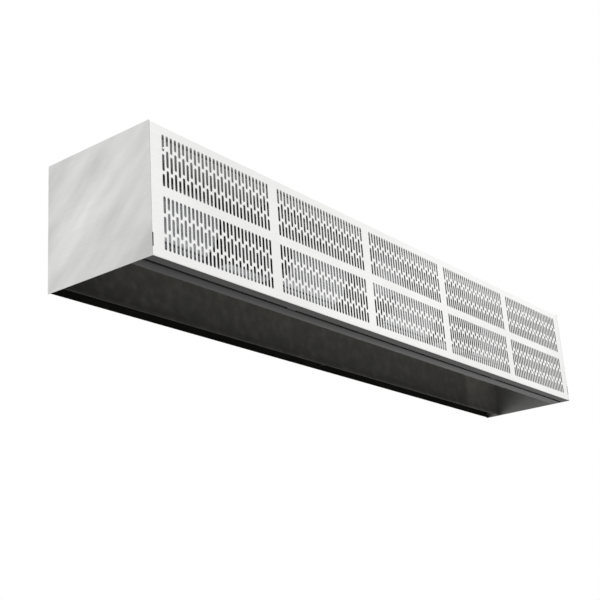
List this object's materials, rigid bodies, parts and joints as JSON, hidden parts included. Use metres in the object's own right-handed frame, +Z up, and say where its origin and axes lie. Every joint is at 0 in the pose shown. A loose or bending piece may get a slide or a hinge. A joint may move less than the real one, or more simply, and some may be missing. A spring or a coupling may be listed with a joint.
{
  "type": "air curtain",
  "caption": "Long stainless steel box hung over a doorway, with a slotted intake front, an open underside, and blowers that press air down through a slot by the wall.",
  "frame": {"origin": "centre of the rear face that lies on the wall", "axes": "+X along the length, +Y into the wall, +Z up; the slotted front faces -Y"},
  "size_m": [1.524, 0.242, 0.234],
  "materials": {
    "brushed_stainless": "satin brushed, soft cloudy reflections",
    "polished_stainless": "fine polished",
    "galvanised_steel": "zinc spangle",
    "wheel_steel": "pressed zinc-coated sheet",
    "dark_painted_steel": "satin charcoal",
    "dark_aluminium": "matt dark anodised",
    "pin_steel": "ground",
    "motor_paint": "semi-gloss",
    "rubber": "matt",
    "terminal_plastic": "moulded",
    "capacitor_can": "drawn can",
    "conduit_sleeve": "ribbed sleeve"
  },
  "bodies": {
    "root": {"left_end_panel": "brushed_stainless", "right_end_panel": "brushed_stainless", "top_panel": "brushed_stainless", "bottom_rail": "brushed_stainless", "rear_panel": "galvanised_steel", "blower_deck": "galvanised_steel", "vane_bracket_left": "galvanised_steel", "vane_bracket_centre": "galvanised_steel", "vane_bracket_right": "galvanised_steel", "electrical_box": "galvanised_steel", "electrical_cover": "galvanised_steel", "nozzle_plate": "dark_painted_steel", "hinge_pin_left": "pin_steel", "hinge_pin_right": "pin_steel", "panel_clip_left": "pin_steel", "panel_clip_right": "pin_steel", "terminal_block": "terminal_plastic", "cable_bushing": "rubber", "motor_left": "motor_paint", "motor_cradle_left": "galvanised_steel", "capacitor_left": "capacitor_can", "conduit_left": "conduit_sleeve", "motor_ring_left_a": "rubber", "blower_housing_left_a": "galvanised_steel", "inlet_ring_left_a_inner": "galvanised_steel", "inlet_ring_left_a_outer": "galvanised_steel", "motor_ring_left_b": "rubber", "blower_housing_left_b": "galvanised_steel", "inlet_ring_left_b_inner": "galvanised_steel", "inlet_ring_left_b_outer": "galvanised_steel", "motor_right": "motor_paint", "motor_cradle_right": "galvanised_steel", "capacitor_right": "capacitor_can", "conduit_right": "conduit_sleeve", "motor_ring_right_a": "rubber", "blower_housing_right_a": "galvanised_steel", "inlet_ring_right_a_inner": "galvanised_steel", "inlet_ring_right_a_outer": "galvanised_steel", "motor_ring_right_b": "rubber", "blower_housing_right_b": "galvanised_steel", "inlet_ring_right_b_inner": "galvanised_steel", "inlet_ring_right_b_outer": "galvanised_steel"},
    "intake_panel": {"intake_panel": "polished_stainless"},
    "vane_left": {"vane_left": "dark_aluminium"},
    "vane_right": {"vane_right": "dark_aluminium"},
    "rotor_left": {"shaft_left": "pin_steel", "blower_wheel_left_a": "wheel_steel", "blower_wheel_left_b": "wheel_steel"},
    "rotor_right": {"shaft_right": "pin_steel", "blower_wheel_right_a": "wheel_steel", "blower_wheel_right_b": "wheel_steel"}
  },
  "joints": [
    {"name": "intake_panel_hinge", "type": "hinge", "parent": "root", "child": "intake_panel", "pos_m": [0, -0.234, 0.111], "axis": [-1, 0, 0], "range_deg": [0, 90]},
    {"name": "rotor_left_spin", "type": "hinge", "parent": "root", "child": "rotor_left", "pos_m": [-0.385, -0.087, 0.0384], "axis": [-1, 0, 0], "continuous": true},
    {"name": "rotor_right_spin", "type": "hinge", "parent": "root", "child": "rotor_right", "pos_m": [0.385, -0.087, 0.0384], "axis": [-1, 0, 0], "continuous": true},
    {"name": "vane_left_tilt", "type": "hinge", "parent": "root", "child": "vane_left", "pos_m": [-0.38, -0.01925, -0.09], "axis": [1, 0, 0], "range_deg": [-20, 20]},
    {"name": "vane_right_tilt", "type": "hinge", "parent": "root", "child": "vane_right", "pos_m": [0.38, -0.01925, -0.09], "axis": [1, 0, 0], "range_deg": [-20, 20]}
  ]
}
